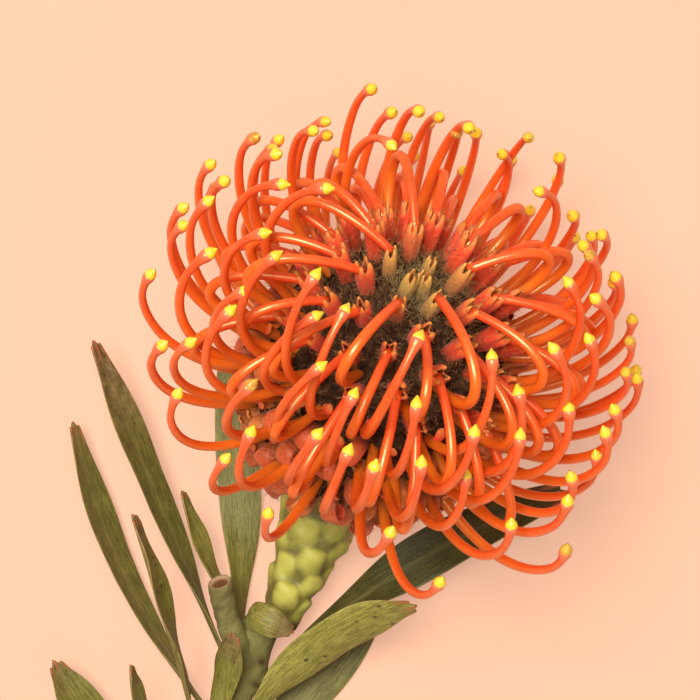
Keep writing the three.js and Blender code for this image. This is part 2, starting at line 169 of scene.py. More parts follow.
def aboveTable(points, floorHeight=0.05, band=0.5):
    points = points.copy()
    points[..., 2] = lifted(floorHeight, band, points[..., 2])
    return points


def ripple(points, size, seed):
    # a smooth random height from -1 to 1: six sine waves of about the given size, crossing
    waves = np.random.default_rng(seed)
    directions = unit(waves.normal(size=(6, 3)))
    lengths = size * waves.uniform(0.7, 1.5, 6)
    phases = waves.uniform(0, 2 * np.pi, 6)
    return np.sin(points @ directions.T * 2 * np.pi / lengths + phases).sum(-1) / 3


def ringsAlong(paths, radii, sides, sideways):
    # rings of a tube square to each path: across * sin(turn) - out * cos(turn), times the radius
    along = unit(np.gradient(paths, axis=1))
    side = np.broadcast_to(sideways[:, None], along.shape)
    across = unit(side - along * (side * along).sum(-1, keepdims=True))
    out = np.cross(along, across)
    turn = (np.arange(sides) + 0.5) / sides * 2 * np.pi
    ring = across[:, :, None] * np.sin(turn)[:, None] - out[:, :, None] * np.cos(turn)[:, None]
    return paths[:, :, None] + ring * np.asarray(radii)[..., None, None]


def ringFaces(count, rows, sides):
    # four-sided faces between neighbouring rings of each tube, and a cap at both of its ends
    first = np.arange(count)[:, None, None] * rows * sides
    a = first + np.arange(rows - 1)[None, :, None] * sides + np.arange(sides)
    b = first + np.arange(rows - 1)[None, :, None] * sides + (np.arange(sides) + 1) % sides
    walls = np.stack([a, b, b + sides, a + sides], -1).reshape(-1, 4).tolist()
    starts = first[:, 0] + np.arange(sides)[::-1]
    ends = first[:, 0] + (rows - 1) * sides + np.arange(sides)
    return walls + starts.tolist() + ends.tolist()


def stripFaces(count, rows, sides):
    # as ringFaces, for flat rings: the two long sides of the first and the last are sewn together
    first = np.arange(count)[:, None, None] * rows * sides
    a = first + np.arange(rows - 1)[None, :, None] * sides + np.arange(sides)
    b = first + np.arange(rows - 1)[None, :, None] * sides + (np.arange(sides) + 1) % sides
    walls = np.stack([a, b, b + sides, a + sides], -1).reshape(-1, 4)
    k = np.arange(sides // 2)
    sewn = np.stack([k, k + 1, (sides - k - 1) % sides, (sides - k) % sides], -1)
    caps = []
    for shift, turned in ((0, True), ((rows - 1) * sides, False)):
        quads = first[:, :, :, None][:, 0] + shift + (sewn[:, ::-1] if turned else sewn)
        caps.append(quads.reshape(-1, 4))
    faces = np.concatenate([walls, *caps]).tolist()
    return [list(dict.fromkeys(face)) for face in faces]


def makePiece(name, points, faces, material, slot, nodes, **shades):
    # one object from points in millimetres, with a number at each point for each named shade
    mesh = bpy.data.meshes.new(name)
    mesh.from_pydata(inFrame(points.reshape(-1, 3)), [], faces)
    mesh.shade_smooth()
    for shade, values in shades.items():
        values = np.asarray(values, np.float32)
        if values.shape == points.shape:
            mesh.attributes.new(shade, "FLOAT_VECTOR", "POINT").data.foreach_set("vector", values.ravel())
        else:
            values = np.broadcast_to(values, points.shape[:-1])
            mesh.attributes.new(shade, "FLOAT", "POINT").data.foreach_set("value", values.ravel())
    mesh.materials.append(material)
    piece = bpy.data.objects.new(name, mesh)
    scene.collection.objects.link(piece)
    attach(piece, "root")
    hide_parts(*nodes)
    print(name, len(mesh.loops) - 2 * len(mesh.polygons), "triangles")


def headPiece(name, points, faces, material, slot="perianth", **shades):
    makePiece(name, points, faces, material, slot, ["flower_head"], **shades)


# ---- finishes ----


class Finish:
    # a material with one main shader, and short ways to add the nodes that feed it
    def __init__(self, name, **settings):
        self.material = bpy.data.materials.new(name)
        self.material.use_nodes = True
        self.tree = self.material.node_tree
        self.shader = self.tree.nodes["Principled BSDF"]
        for socket, value in settings.items():
            self.feed(self.shader.inputs[socket.replace("_", " ")], value)

    def add(self, kind, **values):
        node = self.tree.nodes.new(kind)
        for key, value in values.items():
            setattr(node, key, value)
        return node

    def feed(self, socket, source):
        # a node's output, the name of one of the piece's own shades, a colour or a number
        if isinstance(source, str):
            source = self.shade(source)
        if isinstance(source, bpy.types.NodeSocket):
            self.tree.links.new(source, socket)
        elif socket.type == "RGBA":
            socket.default_value = (*source, 1)
        else:
            socket.default_value = source

    def shade(self, name):
        return self.add("ShaderNodeAttribute", attribute_name=name).outputs["Fac"]

    def place(self, stretch=(1, 1, 1), along=None):
        # object coordinates, or the piece's own millimetres along and across it
        mapping = self.add("ShaderNodeMapping")
        mapping.inputs["Scale"].default_value = stretch
        if along:
            source = self.add("ShaderNodeAttribute", attribute_name=along).outputs["Vector"]
        else:
            source = self.add("ShaderNodeTexCoord").outputs["Object"]
        self.feed(mapping.inputs["Vector"], source)
        return mapping.outputs["Vector"]

    def noise(self, scale, detail=3, stretch=(1, 1, 1), along=None):
        node = self.add("ShaderNodeTexNoise")
        node.inputs["Scale"].default_value = scale
        node.inputs["Detail"].default_value = detail
        node.inputs["Roughness"].default_value = 0.55
        self.feed(node.inputs["Vector"], self.place(stretch, along))
        return node.outputs["Fac"]

    def cells(self, scale, stretch=(1, 1, 1), along=None):
        node = self.add("ShaderNodeTexVoronoi")
        node.inputs["Scale"].default_value = scale
        self.feed(node.inputs["Vector"], self.place(stretch, along))
        return node.outputs["Distance"]

    def plus(self, first, second):
        node = self.add("ShaderNodeMath", operation="ADD")
        self.feed(node.inputs[0], first)
        self.feed(node.inputs[1], second)
        return node.outputs["Value"]

    def times(self, first, second):
        # kept within 0 and 1
        node = self.add("ShaderNodeMath", operation="MULTIPLY", use_clamp=True)
        self.feed(node.inputs[0], first)
        self.feed(node.inputs[1], second)
        return node.outputs["Value"]

    def spread(self, value, low, high, start=0.0, end=1.0):
        # the part of a value from low to high, as start to end
        node = self.add("ShaderNodeMapRange", interpolation_type="SMOOTHSTEP")
        for socket, source in zip(node.inputs, (value, low, high, start, end)):
            self.feed(socket, source)
        return node.outputs["Result"]

    def ramp(self, value, stops):
        node = self.add("ShaderNodeValToRGB")
        band = node.color_ramp
        for k, (place, colour) in enumerate(stops):
            stop = band.elements[k] if k < 2 else band.elements.new(place)
            stop.position = place
            stop.color = (*colour, 1)
        self.feed(node.inputs["Fac"], value)
        return node.outputs["Color"]

    def mix(self, share, first, second, blend="MIX"):
        node = self.add("ShaderNodeMix", data_type="RGBA", blend_type=blend)
        for socket, source in ((node.inputs[0], share), (node.inputs[6], first), (node.inputs[7], second)):
            self.feed(socket, source)
        return node.outputs[2]

    def colour(self, source):
        self.feed(self.shader.inputs["Base Color"], source)

    def bump(self, height, depth, strength=1.0):
        # depth in metres
        node = self.add("ShaderNodeBump")
        node.inputs["Strength"].default_value = strength
        node.inputs["Distance"].default_value = depth
        self.feed(node.inputs["Height"], height)
        self.feed(self.shader.inputs["Normal"], node.outputs["Normal"])


def floorMaterial():
    glow = {"Emission_Color": floorFinish["glow"], "Emission_Strength": floorFinish["glowStrength"]}
    finish = Finish("paleSurface", Roughness=0.9, **glow)
    finish.colour(floorFinish["colour"])
    return finish.material


floorMesh.materials.append(floorMaterial())

# ---- the florets' places ----


def floretPlace(i):
    # angle from the pole by equal shares of the dome's surface, and turn by the golden angle
    edge = np.cos(np.radians(head["edge"]))
    return np.arccos(1 - (i + 0.5) / head["florets"] * (1 - edge)), i * goldenAngle


def inHead(turn, a, r, s=0.0):
    # a along the head's axis, r away from it, s sideways, at a turn about the axis
    turn, a, r, s = (x[..., None] for x in np.broadcast_arrays(turn, a, r, s))
    outward = np.cos(turn) * right + np.sin(turn) * upward
    sideways = np.cos(turn) * upward - np.sin(turn) * right
    return middle + a * axis + r * outward + s * sideways


def atFloret(i, distance, away=0.0, side=0.0, shift=0.0):
    # distance out along the floret's own direction, away from the pole, and sideways
    fromPole, turn = floretPlace(i)
    a = np.cos(fromPole + shift) * distance * head["stretch"] - np.sin(fromPole) * away
    r = np.sin(fromPole + shift) * distance + np.cos(fromPole) * away
    return inHead(turn, a, r, side)


def sidewaysOf(i):
    # square to the plane through the floret and the head's axis
    turn = (i * goldenAngle)[:, None]
    return np.cos(turn) * upward - np.sin(turn) * right


every = np.arange(head["florets"])
buds = every[every < head["buds"]]
isLoop = (every >= head["buds"]) & (every + (draw(every, 1) - 0.5) * head["mixing"] < head["unopened"])
loops = every[isLoop]
opened = every[(every >= head["buds"]) & ~isLoop]

# ---- free styles with their pollen tips ----

freeStyle = {
    "root": 12,  # from the middle of the head
    "rootStretch": 1.1,
    "length": 55,
    "straight": 0.24,  # share of the length before it turns
    "lean": 0.82,
    "leanSpread": 10,
    "turn": 90,
    "turnSpread": 30,
    "hook": 28,
    "ease": 0.45,
    "swing": 24,
    "steps": 36,
    "rest": 0.9,  # height of a line that lies on the table
    "rests": (12, 19),
    "sides": 12,
    # distance from the tip and radius there
    "radii": [(2.05, 1.02), (2.2, 1.2), (2.6, 1.25), (3.2, 1.15), (4, 0.93), (4.9, 0.79), (6.5, 0.74)]
    + [(9, 0.78), (14, 0.88), (30, 0.98), (56, 1.28)],
    "cone": [(0, 0.04), (0.12, 0.14), (0.4, 0.27), (0.75, 0.52), (1.05, 0.84), (1.4, 1.07)]
    + [(1.75, 1.17), (2.05, 1.16), (2.3, 1)],
}


def freeStyleLines(i):
    # a meridian line: it leans out, turns back towards the axis and hooks in at the tip
    fromPole, turn = floretPlace(i)
    start = fromPole * freeStyle["lean"] + (draw(i, 2) - 0.5) * np.radians(freeStyle["leanSpread"])
    length = freeStyle["length"] * (0.95 + 0.1 * draw(i, 3))
    back = np.radians(freeStyle["turn"] + (draw(i, 4) - 0.5) * freeStyle["turnSpread"])
    swing = np.sin((draw(i, 5) - 0.5) * np.radians(freeStyle["swing"]))
    steps = freeStyle["steps"]
    straight = freeStyle["straight"]
    u = np.maximum(0, ((np.arange(steps) + 0.5) / steps - straight) / (1 - straight))
    bend = u * u * (3 - 2 * u) * freeStyle["ease"] + u * (1 - freeStyle["ease"])
    hook = np.radians(freeStyle["hook"]) * np.maximum(0, (u - 0.75) / 0.25)
    angle = start[:, None] - back[:, None] * bend - hook
    step = (length / steps)[:, None]

    def summed(first, pieces):
        return first[:, None] + np.concatenate([np.zeros((len(i), 1)), np.cumsum(pieces, 1)], 1)

    a = summed(freeStyle["root"] * np.cos(fromPole) * freeStyle["rootStretch"], step * np.cos(angle))
    r = summed(freeStyle["root"] * np.sin(fromPole), step * np.sin(angle))
    s = summed(np.zeros(len(i)), step * swing[:, None] * u)
    return restedOnTable(inHead(turn[:, None], a, r, s))


def restedOnTable(lines):
    # low lines sink onto the table beyond their lowest point, and none goes under it
    z = lines[..., 2]
    low = np.maximum(0, z.min(1) - freeStyle["rest"])
    drop = low * (1 - smoothStep(low, *freeStyle["rests"]))
    lowest = np.maximum(1, z.argmin(1))
    sunk = z - drop[:, None] * smoothStep(np.arange(z.shape[1]) / lowest[:, None], 0, 1)
    lines = lines.copy()
    lines[..., 2] = lifted(freeStyle["rest"], 3, sunk)
    return lines


def alongLines(lines, stations):
    # a smooth curve through each line's points, read at fractional stations
    last = lines.shape[1] - 1
    k = np.clip(np.floor(stations).astype(int), 0, last - 1)
    t = (stations - k)[:, None]
    a, b, c, d = (lines[:, np.clip(k + j, 0, last)] for j in (-1, 0, 1, 2))
    return b + 0.5 * t * (c - a + t * (2 * a - 5 * b + 4 * c - d + t * (3 * (b - c) + d - a)))


def styleMaterial():
    # amber at the foot, orange, then red, and pink below the pollen
    shine = {"Roughness": 0.36, "IOR": 1.8, "Specular_IOR_Level": 0.95, "Specular_Tint": (1, 0.86, 0.45)}
    depth = {"Subsurface_Weight": 0.12, "Subsurface_Scale": 0.0015, "Subsurface_Radius": (1, 0.35, 0.12)}
    finish = Finish("styleSkin", **shine, **depth)
    along = finish.ramp(
        "along",
        [
            (0.0, (0.4, 0.09, 0.008)),
            (0.25, (0.76, 0.19, 0.01)),
            (0.45, (0.92, 0.17, 0.01)),
            (0.65, (0.93, 0.125, 0.012)),
            (0.85, (0.91, 0.08, 0.015)),
            (0.93, (0.91, 0.09, 0.024)),
            (0.958, (0.95, 0.2, 0.12)),
            (0.98, (0.96, 0.27, 0.18)),
        ],
    )
    redder = finish.mix("age", along, (0.84, 0.045, 0.01))
    specks = finish.spread(finish.noise(900, 4), 0.35, 0.7, 0, 0.22)
    finish.colour(finish.mix(specks, redder, (0.95, 0.24, 0.03)))
    finish.bump(finish.noise(1500, 2), 0.00012, 0.25)
    return finish.material


styleSkin = styleMaterial()


def freeStyles():
    # tubes along the styles' lines, closer rings near the tip, radius read by distance from it
    lines = freeStyleLines(opened)
    step = freeStyle["length"] / freeStyle["steps"]
    nearTip = np.array([9, 7.6, 6.4, 5.5, 4.9, 4.4, 3.9, 3.5, 3.1, 2.8, 2.5, 2.3, 2.15, 2.05])
    stations = np.concatenate([np.arange(2, 30.0), freeStyle["steps"] - nearTip / step])
    fromTip = (freeStyle["steps"] - stations) * step
    radii = np.interp(fromTip, *zip(*freeStyle["radii"]))
    own = (0.93 + 0.14 * draw(opened, 6))[:, None]
    rings = ringsAlong(alongLines(lines, stations), radii * own, freeStyle["sides"], sidewaysOf(opened))
    points = aboveTable(rings)
    headPiece(
        "styles", points, ringFaces(len(opened), len(stations), freeStyle["sides"]), styleSkin, "style",
        along=np.interp(stations, [0, 36], [0, 1])[None, :, None],
        age=(draw(opened, 7) * 0.35)[:, None, None],
    )
    return lines


def pollenMaterial():
    finish = Finish("pollen", Roughness=0.4, Specular_IOR_Level=0.5, Coat_Weight=0.3)
    # pink cream foot, partly the blend out of the pink collar and partly a painted highlight, then yellow,
    # and a dark point at the tip
    tip = finish.ramp(
        "along",
        [
            (0.0, (0.96, 0.55, 0.2)),
            (0.2, (0.96, 0.7, 0.03)),
            (0.86, (0.93, 0.62, 0.015)),
            (0.96, (0.12, 0.08, 0.01)),
        ],
    )
    dull = finish.mix("age", tip, (0.62, 0.25, 0.03))
    grains = finish.spread(finish.noise(1400, 3), 0.4, 0.7, 0, 0.5)
    finish.colour(finish.mix(grains, dull, (0.95, 0.78, 0.12)))
    finish.bump(finish.noise(2200, 3), 0.0002, 0.5)
    return finish.material


def pollenTips(lines):
    # the last two millimetres of the same lines, with the cone's own radii
    step = freeStyle["length"] / freeStyle["steps"]
    fromTip, radii = (np.array(column) for column in zip(*freeStyle["cone"][::-1]))
    stations = np.minimum(freeStyle["steps"] - fromTip / step, freeStyle["steps"] - 0.001)
    own = (0.93 + 0.14 * draw(opened, 6))[:, None]
    rings = ringsAlong(alongLines(lines, stations), radii * own, freeStyle["sides"], sidewaysOf(opened))
    old = smoothStep(draw(opened, 8), 0.86, 0.97)
    faces = ringFaces(len(opened), len(stations), freeStyle["sides"])
    headPiece(
        "pollenTips", aboveTable(rings), faces, pollenMaterial(), "pollen",
        along=(1 - fromTip / fromTip.max())[None, :, None],
        age=old[:, None, None],
    )


styleLines = freeStyles()
pollenTips(styleLines)

# ---- loops: styles still held at their tips ----

loopStyle = {
    "root": 15,
    "rootShift": 0.1,  # radians away from the pole
    "topShift": -0.05,
    "bow": (11, 16),
    "rise": (12, 17),
    "push": 18.2,
    "pull": (1.9, 1.3),
    "radius": 1.02,
    "thinning": 0.12,  # share of the radius lost towards the held end
    "rows": 44,
    "sides": 12,
}


def loopLines(i, shares):
    # a cubic curve out of the floret's foot, in a bow away from the pole, into the perianth's top
    fromPole, turn = floretPlace(i)
    bow = between(loopStyle["bow"], draw(i, 3))
    rise = between(loopStyle["rise"], draw(i, 4))

    def at(angle, distance, away, out):
        a = np.cos(fromPole + angle) * distance * head["stretch"] + np.cos(fromPole) * out
        r = np.sin(fromPole + angle) * distance + np.sin(fromPole) * out
        return inHead(turn, a - np.sin(fromPole) * away, r + np.cos(fromPole) * away)

    top = head["dome"] + 1
    near, far = loopStyle["pull"]
    knots = [
        at(loopStyle["rootShift"], loopStyle["root"], 0, 0),
        at(loopStyle["rootShift"], loopStyle["root"], bow * near, loopStyle["push"]),
        at(loopStyle["topShift"], top, bow * far, rise * far),
        at(loopStyle["topShift"], top, 0, 0),
    ]
    t = shares[:, None]
    weights = [(1 - t) ** 3, 3 * t * (1 - t) ** 2, 3 * t * t * (1 - t), t**3]
    return sum(weight * knot[:, None] for weight, knot in zip(weights, knots))


def loopStyles():
    # tubes along the loops' lines, a little thinner towards the held end
    shares = np.linspace(0.04, 1, loopStyle["rows"])
    lines = loopLines(loops, shares)
    own = (0.94 + 0.14 * draw(loops, 6))[:, None]
    radii = loopStyle["radius"] * (1 - loopStyle["thinning"] * smoothStep(shares, 0.5, 1)) * own
    rings = ringsAlong(lines, radii, loopStyle["sides"], sidewaysOf(loops))
    faces = ringFaces(len(loops), loopStyle["rows"], loopStyle["sides"])
    headPiece(
        "heldStyles", rings, faces, styleSkin, "style",
        along=(0.12 + 0.74 * shares)[None, :, None],
        age=(draw(loops, 7)[:, None] * 0.2 + 0.6 * smoothStep(shares, 0.72, 1))[:, :, None],
    )


loopStyles()

# ---- perianths: closed columns, and open ones rolled back ----

perianth = {
    "foot": 18.5,
    "columnTop": 29.9,
    "claws": 2.1,  # how far the four pointed claws stand above the column's rim
    "radius": 1.75,
    "wall": 0.42,
    "shift": 2.9,  # of an open one, beside its style
    "roll": (2.7, 1.0),  # radius of the roll, outside and inside
    "turns": (1.1, 1.7),
    "width": (1.7, 2.4),
    "thickness": 0.42,
    "rollBase": (27, 25.6),  # where the roll begins
    "edges": 12,  # points round a strap's section
    "youngest": (2, 10),  # florets from young to grown
    "clawWidth": 1.05,
    "clawThickness": 0.36,
}


def perianthMaterial():
    # red and pink outside, brown at the foot, yellow claws; young ones yellow green
    sheen = {"Sheen_Weight": 0.1, "Sheen_Roughness": 0.5}
    finish = Finish("perianthSkin", Roughness=0.5, Specular_IOR_Level=0.4, **sheen)
    along = finish.ramp(
        "along",
        [
            (0.0, (0.06, 0.025, 0.009)),
            (0.3, (0.27, 0.05, 0.014)),
            (0.55, (0.62, 0.055, 0.018)),
            (0.82, (0.78, 0.06, 0.02)),
            (1.0, (0.84, 0.28, 0.04)),
        ],
    )
    young = finish.ramp(
        "along",
        [
            (0.0, (0.05, 0.05, 0.02)),
            (0.5, (0.17, 0.14, 0.045)),
            (0.75, (0.42, 0.28, 0.07)),
            (1.0, (0.7, 0.42, 0.08)),
        ],
    )
    inside = finish.ramp(finish.noise(420, 2), [(0.35, (0.5, 0.15, 0.025)), (0.7, (0.78, 0.3, 0.06))])
    both = finish.mix("youth", along, young)
    faced = finish.mix("inside", both, inside)
    fibres = finish.spread(finish.noise(1600, 3), 0.42, 0.68, 0, 0.35)
    finish.colour(finish.mix(fibres, faced, (0.82, 0.24, 0.08)))
    finish.bump(finish.noise(1100, 3), 0.00025, 0.5)
    return finish.material


perianthSkin = perianthMaterial()


def columns():
    # a tube of four lobes: radius times 1 + 0.1 cos 4 turn, its rim drawn up into four claws by
    # cos 4 turn, then back down inside as a wall
    ids = np.concatenate([buds, loops])
    sides = 24
    turn = (np.arange(sides) + 0.5) / sides * 2 * np.pi
    lobes = 0.5 + 0.5 * np.cos(4 * turn)
    up = np.concatenate([np.linspace(0, 1, 15), [1.0, 0.9, 0.75, 0.6]])
    inner = np.concatenate([np.zeros(15), [1, 1, 1, 1]])
    youth = 1 - smoothStep(ids, *perianth["youngest"])
    length = perianth["columnTop"] - perianth["foot"] - 1.5 * (ids < head["buds"]) - 1.6 * youth
    swell = np.interp(up, [0, 0.35, 0.7, 0.9, 1], [0.62, 0.75, 1, 0.98, 0.7])
    swell = swell[None] * np.interp(youth, [0, 1], [1, 0.88])[:, None]
    own = 0.9 + 0.2 * draw(ids, 9)
    radius = perianth["radius"] * own[:, None] * swell - perianth["wall"] * inner
    ringRadius = radius[..., None] * (1 + 0.1 * np.cos(4 * turn))
    rim = smoothStep(up, 0.55, 1)[:, None]
    claws = perianth["claws"] * (0.7 + 0.6 * draw(ids, 10))[:, None, None] * rim * lobes**1.6
    flare = 1 + (0.12 - 0.3 * youth[:, None, None]) * rim * lobes
    distance = perianth["foot"] + length[:, None, None] * up[:, None] + claws
    away = ringRadius * flare * np.cos(turn + 0.4)
    side = ringRadius * flare * np.sin(turn + 0.4)
    lean = -1.2 * (ids < head["buds"])[:, None, None] * up[:, None] ** 2
    points = atFloret(ids[:, None, None], distance, away + lean, side, shift=loopStyle["topShift"])
    headPiece(
        "heldPerianths", points, ringFaces(len(ids), len(up), sides), perianthSkin,
        along=np.clip(up[None, :, None] * 0.86 + 0.14 * rim * lobes, 0, 1),
        youth=youth[:, None, None],
        inside=inner[None, :, None],
    )
    return points, youth


def ribbon(i, distance, away, side, width, thickness, cup, twist):
    # a strap carried along a line in the floret's own plane, its section a thin cupped oval
    turn = np.arange(perianth["edges"]) / perianth["edges"] * 2 * np.pi
    across = np.cos(turn)
    over = np.sign(np.sin(turn)) * np.sqrt(np.maximum(0, 1 - np.abs(across) ** 4))
    along = np.stack([np.gradient(distance, axis=1), np.gradient(away, axis=1)], -1)
    along = along / np.linalg.norm(along, axis=-1, keepdims=True)
    bulge = (over * thickness / 2 + cup[..., None] * (across**2 - 0.4)) * np.ones(width.shape + (1,))
    d = distance[..., None] + along[..., 1, None] * bulge
    o = away[..., None] - along[..., 0, None] * bulge
    s = side[..., None] + width[..., None] * across
    middleAway = away[:, :1, None]
    cosTwist = np.cos(twist)[:, None, None]
    sinTwist = np.sin(twist)[:, None, None]
    turned = middleAway + (o - middleAway) * cosTwist - s * sinTwist
    sideTurned = (o - middleAway) * sinTwist + s * cosTwist
    points = atFloret(i[:, None, None], d, turned, sideTurned)
    return points, (over > 0).astype(float)


def rolls():
    # up beside the style, then a spiral away from the pole: the roll's radius shrinks with its turn
    ids = opened
    rows = 34
    t = np.linspace(0, 1, rows)
    turns = between(perianth["turns"], draw(ids, 11))[:, None] * np.pi
    outer, innermost = perianth["roll"]
    size = (0.85 + 0.3 * draw(ids, 12))[:, None]
    straightRows = 10
    climb = np.clip(t * (rows - 1) / straightRows, 0, 1)
    wound = np.clip((t * (rows - 1) - straightRows) / (rows - 1 - straightRows), 0, 1) * turns
    radius = (outer + (innermost - outer) * wound / turns) * size
    base = between(perianth["rollBase"], draw(ids, 13))[:, None]
    shift = perianth["shift"]
    distance = perianth["foot"] + (base - perianth["foot"]) * climb + radius * np.sin(wound)
    away = shift - 0.5 * (1 - climb) + outer * size - radius * np.cos(wound)
    taper = np.interp(t, [0, 0.25, 0.8, 1], [0.75, 1, 0.9, 0.35])
    width = between(perianth["width"], draw(ids, 14))[:, None] * taper
    cup = np.interp(t, [0, 0.3, 0.6, 1], [-0.9, -0.7, -0.25, -0.1])[None] * np.ones((len(ids), 1))
    side = np.sin(t * 3 + draw(ids, 15)[:, None] * 6) * 0.3
    twist = (draw(ids, 16) - 0.5) * 1.5
    points, over = ribbon(ids, distance, away, side, width, perianth["thickness"], cup, twist)
    points = aboveTable(points, 0.1, 0.8)
    headPiece(
        "openPerianths", points, stripFaces(len(ids), rows, perianth["edges"]), perianthSkin,
        along=(0.15 + 0.75 * t)[None, :, None],
        youth=0.0,
        inside=over[None, None] * smoothStep(t, 0.2, 0.5)[None, :, None] * 0.25
        + 0.6 * (draw(ids, 17) > 0.62)[:, None, None],
    )
    return points


def freeClaws():
    # the fourth segment of an open perianth: narrow, on the pole's side, its tip turned over
    ids = opened
    rows = 20
    t = np.linspace(0, 1, rows)
    turned = smoothStep(t, 0.5, 1) * (1.6 + 1.2 * draw(ids, 18))[:, None]
    size = (1.1 + 0.7 * draw(ids, 19))[:, None]
    base = 25.6 + 1.2 * draw(ids, 20)[:, None]
    distance = perianth["foot"] + (base - perianth["foot"]) * np.clip(t / 0.5, 0, 1) + size * np.sin(turned)
    away = -1.6 - size * (1 - np.cos(turned)) - 0.3 * t
    taper = np.interp(t, [0, 0.4, 0.85, 1], [0.9, 0.8, 1.15, 0.4])
    width = perianth["clawWidth"] * taper[None] * np.ones((len(ids), 1))
    cup = np.full((len(ids), rows), 0.35)
    side = 0.8 * (draw(ids, 21) - 0.5)[:, None] * t[None]
    twist = (draw(ids, 22) - 0.5) * 1.6
    points, over = ribbon(ids, distance, away, side, width, perianth["clawThickness"], cup, twist)
    points = aboveTable(points, 0.1, 0.8)
    headPiece(
        "freeClaws", points, stripFaces(len(ids), rows, perianth["edges"]), perianthSkin,
        along=(0.1 + 0.95 * t)[None, :, None],
        youth=0.0,
        inside=over[None, None] * 0.8,
    )


columnPoints, columnYouth = columns()
rollPoints = rolls()
freeClaws()

# ---- the hairy mass that the florets stand in ----

core = {
    "radius": 23.6,
    "end": -25,
    "endRadius": 9.4,
    "pole": 27,  # height of the dished top along the axis
    "arc": 117,  # degrees from the pole to where it draws in
    "tail": 14,  # rows from there to the neck
    "hump": (1.6, 0.13),  # height under each floret, and reach in radians
    "sides": 120,
    "rows": 90,
}


def coreMaterial():
    finish = Finish("feltedCore", Roughness=0.9, Specular_IOR_Level=0.15)
    browns = [(0.3, (0.012, 0.008, 0.005)), (0.55, (0.06, 0.03, 0.014)), (0.8, (0.17, 0.09, 0.035))]
    brown = finish.ramp(finish.noise(700, 5), browns)
    finish.colour(finish.mix("pole", brown, (0.04, 0.032, 0.016)))
    finish.bump(finish.noise(900, 4), 0.0008, 0.8)
    return finish.material


def coreSurface():
    # a dome turned about the head's axis, dished at the pole and drawn in to the peduncle, with
    # a low hump for each floret
    arc = np.radians(np.linspace(0, core["arc"], core["rows"] - core["tail"]))
    dish = 1 - smoothStep(arc, 0, 0.3)
    r = core["radius"] * np.sin(arc)
    top = core["radius"] * head["stretch"]
    a = core["radius"] * np.cos(arc) * head["stretch"] - (top - core["pole"]) * dish
    tail = np.linspace(0, 1, core["tail"] + 1)[1:]
    r = np.concatenate([r, r[-1] + (core["endRadius"] - r[-1]) * tail**1.3])
    a = np.concatenate([a, a[-1] + (core["end"] - a[-1]) * tail])
    turn = np.arange(core["sides"]) / core["sides"] * 2 * np.pi
    points = inHead(turn[None], a[:, None], np.maximum(r, 0.01)[:, None])
    outward = unit(points - middle)
    roots = unit(atFloret(every, 24.0) - middle)
    near = (outward.reshape(-1, 3) @ roots.T).max(1).reshape(outward.shape[:2])
    height, reach = core["hump"]
    hump = height * smoothStep(near, np.cos(reach), 1)
    fine = 0.5 * ripple(points, 3, 5) + 0.3 * ripple(points, 1.4, 6)
    inward = smoothStep(a, core["end"] - 1, core["end"] + 6)[:, None]
    points = points + outward * ((hump + fine) * inward)[..., None]
    pole = 1 - smoothStep(np.arccos(np.clip(outward @ axis, -1, 1)), 0.08, 0.28)
    faces = ringFaces(1, len(a), core["sides"])
    headPiece("core", aboveTable(points[None], 0.3, 1.5), faces, coreMaterial(), pole=pole[None])
    return points, outward


corePoints, coreOutward = coreSurface()

# ---- fine hairs ----

hairs = {
    # how many, length from and to, how far they stand off the surface
    "column": (6500, 0.9, 2.1, 0.5),
    "roll": (6500, 0.8, 2.0, 0.55),
    "core": (7500, 2.0, 4.8, 0.9),
    "radius": 0.045,
}


def hairPaths(roots, normals, lengths, stand):
    # each hair leaves along its surface's normal mixed with a random direction, and bends once
    wild = unit(rng.normal(size=roots.shape))
    first = unit(normals * stand + wild * 0.6 + 0.35 * unit(roots - middle))
    second = unit(first + 0.7 * unit(rng.normal(size=roots.shape)))
    half = roots + first * lengths[:, None] * 0.5
    return np.stack([roots, half, half + second * lengths[:, None] * 0.5], 1)


def rootsOn(points, count, rows):
    # random points of tubes, with the direction away from the middle of their ring
    tube = rng.integers(0, points.shape[0], count)
    row = rng.integers(*rows, count)
    side = rng.integers(0, points.shape[2], count)
    found = points[tube, row, side]
    return found, unit(found - points[tube, row].mean(1)), tube


def hairMaterial():
    finish = Finish("hair", Roughness=0.6, Specular_IOR_Level=0.3)
    dark = [(0.0, (0.12, 0.06, 0.025)), (0.4, (0.4, 0.2, 0.08))]
    pale = [(0.75, (0.6, 0.34, 0.15)), (1.0, (0.42, 0.31, 0.13))]
    finish.colour(finish.ramp("tone", dark + pale))
    return finish.material


